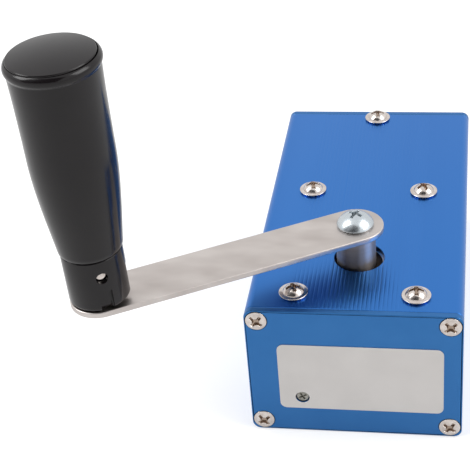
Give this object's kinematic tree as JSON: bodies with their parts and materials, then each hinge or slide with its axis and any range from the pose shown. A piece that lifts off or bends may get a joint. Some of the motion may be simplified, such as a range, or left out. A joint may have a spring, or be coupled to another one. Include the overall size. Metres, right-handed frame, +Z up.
{
  "type": "hand crank generator",
  "caption": "Hand crank generator: grooved aluminium case with gears and motor inside, a steel crank arm and a folding handle with a revolving grip.",
  "frame": {"origin": "centre of the case's flat bottom face", "axes": "+Z up, square to the bottom face; +Y runs along the case from the front plate to the rear plate; +X runs across the case, to the right when the front plate is seen"},
  "size_m": [0.1161, 0.1416, 0.1343],
  "materials": {
    "anodised_aluminium": "satin, blue",
    "label_stock": "satin",
    "nickel_screws": "bright",
    "stainless_sheet": "satin",
    "turned_steel": "bright turned",
    "zinc_plate": "bright zinc",
    "gear_steel": "oiled",
    "gear_brass": "machined",
    "bearing_bronze": "sintered",
    "motor_steel": "plated",
    "winding_copper": "enamelled",
    "black_moulding": "gloss",
    "matte_moulding": "matte",
    "board_laminate": "satin",
    "capacitor_sleeve": "satin",
    "pale_moulding": "matte",
    "blue_moulding": "matte",
    "tinned_shell": "tinned",
    "lead_sheath": "satin"
  },
  "bodies": {
    "housing": {"case_extrusion": "anodised_aluminium", "front_plate": "anodised_aluminium", "rear_plate": "anodised_aluminium", "front_plate_screws": "nickel_screws", "rear_plate_screws": "nickel_screws", "label": "label_stock", "gearbox_screws": "nickel_screws", "bracket_screw": "nickel_screws", "upper_gear_plate": "stainless_sheet", "lower_gear_plate": "stainless_sheet", "plate_posts": "nickel_screws", "post_screws": "nickel_screws", "upper_shaft_bush": "bearing_bronze", "lower_shaft_bush": "bearing_bronze", "gear_axles": "nickel_screws", "motor_can": "motor_steel", "motor_end_cap": "matte_moulding", "motor_magnets": "gear_steel", "motor_bushes": "bearing_bronze", "motor_brushes": "matte_moulding", "motor_screws": "nickel_screws", "control_board": "board_laminate", "capacitors": "capacitor_sleeve", "inductor": "winding_copper", "bridge_rectifier": "matte_moulding", "regulator": "matte_moulding", "lead_connectors": "pale_moulding", "trimmer_body": "blue_moulding", "socket_board": "board_laminate", "socket_bracket": "stainless_sheet", "board_screws": "nickel_screws", "usb_shell": "tinned_shell", "usb_insulator": "pale_moulding", "dc_socket": "matte_moulding", "motor_leads": "lead_sheath", "output_leads": "lead_sheath"},
    "crank": {"drive_shaft": "turned_steel", "main_gear": "gear_steel", "shaft_clip": "turned_steel", "crank_arm": "stainless_sheet", "crank_screw": "zinc_plate", "handle_foot": "stainless_sheet"},
    "first_gear": {"first_compound_gear": "gear_brass"},
    "second_gear": {"second_compound_gear": "gear_brass"},
    "rotor": {"motor_pinion": "gear_brass", "motor_shaft": "turned_steel", "motor_armature": "motor_steel", "commutator": "winding_copper"},
    "handle_rod": {"handle_rod": "stainless_sheet", "rod_nut": "zinc_plate", "hinge_pin": "turned_steel"},
    "sleeve": {"lock_sleeve": "black_moulding", "spindle_tube": "zinc_plate", "grip_washer": "zinc_plate", "grip_screw": "zinc_plate", "lock_spring": "turned_steel"},
    "grip": {"grip": "black_moulding", "grip_cap": "black_moulding"},
    "trimmer": {"trimmer_screw": "tinned_shell"}
  },
  "joints": [
    {"name": "crank_spin", "type": "hinge", "parent": "housing", "child": "crank", "pos_m": [-0.0009, -0.0303, 0.05], "axis": [0, 0, 1], "continuous": true},
    {"name": "first_gear_spin", "type": "hinge", "parent": "housing", "child": "first_gear", "pos_m": [-0.0009, -0.0055, 0.035], "axis": [0, 0, 1], "continuous": true},
    {"name": "second_gear_spin", "type": "hinge", "parent": "housing", "child": "second_gear", "pos_m": [-0.0009, 0.0101, 0.035], "axis": [0, 0, 1], "continuous": true},
    {"name": "rotor_spin", "type": "hinge", "parent": "housing", "child": "rotor", "pos_m": [-0.0009, 0.0221, 0.02], "axis": [0, 0, 1], "continuous": true},
    {"name": "handle_fold", "type": "hinge", "parent": "crank", "child": "handle_rod", "pos_m": [-0.07, -0.0686, 0.0683], "axis": [-0.4848, 0.8746, 0], "range_deg": [0, 90]},
    {"name": "sleeve_lift", "type": "slide", "parent": "handle_rod", "child": "sleeve", "axis": [-0.0275, -0.0152, 0.9995], "range_m": [0, 0.005], "stiffness_N_per_m": 800, "springref_m": -0.006, "deforming": ["lock_spring"]},
    {"name": "grip_spin", "type": "hinge", "parent": "sleeve", "child": "grip", "pos_m": [-0.07, -0.0686, 0.0683], "axis": [-0.0275, -0.0152, 0.9995], "continuous": true},
    {"name": "trimmer_turn", "type": "hinge", "parent": "housing", "child": "trimmer", "pos_m": [-0.01565, -0.05485, 0.0132], "axis": [0, 1, 0], "continuous": true}
  ],
  "couplings": [
    {"joint": "first_gear_spin", "follows": "crank_spin", "ratio": -4.1667},
    {"joint": "second_gear_spin", "follows": "crank_spin", "ratio": 13.889},
    {"joint": "rotor_spin", "follows": "crank_spin", "ratio": -41.667},
    {"joint": "sleeve_lift", "follows": "handle_fold", "m_per_rad": 0.0031828}
  ]
}
